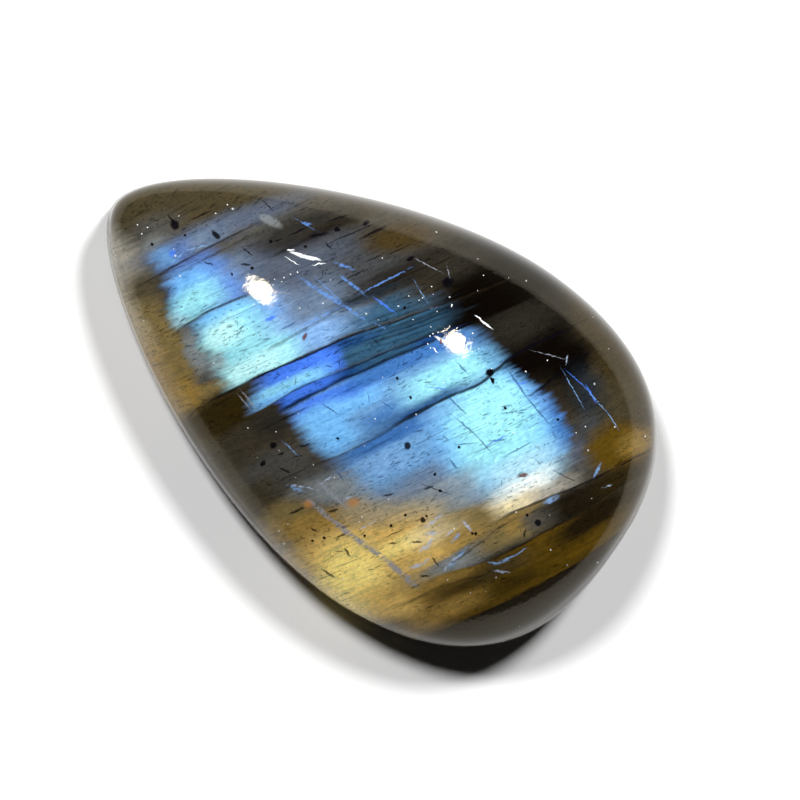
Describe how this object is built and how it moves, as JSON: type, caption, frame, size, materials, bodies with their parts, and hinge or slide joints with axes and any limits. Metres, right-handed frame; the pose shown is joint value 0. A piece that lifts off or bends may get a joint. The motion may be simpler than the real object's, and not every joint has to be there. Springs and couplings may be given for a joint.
{
  "type": "labradorite cabochon gemstone",
  "caption": "Polished pear-shaped labradorite cabochon with a domed top, a low girdle wall and a flat back to rest on or set in a bezel.",
  "frame": {"origin": "on the flat back, at the middle of the stone's length and width", "axes": "+X from the pointed end to the round end, +Y across the stone, +Z from the flat back to the top of the dome"},
  "size_m": [0.0276, 0.0178, 0.008],
  "materials": {
    "labradorite": "high polish on the dome and girdle, with blue flash patches, gold-brown bands and fine dark needles inside; smooth ground back"
  },
  "bodies": {
    "root": {"labradorite_cabochon": "labradorite"}
  },
  "joints": []
}
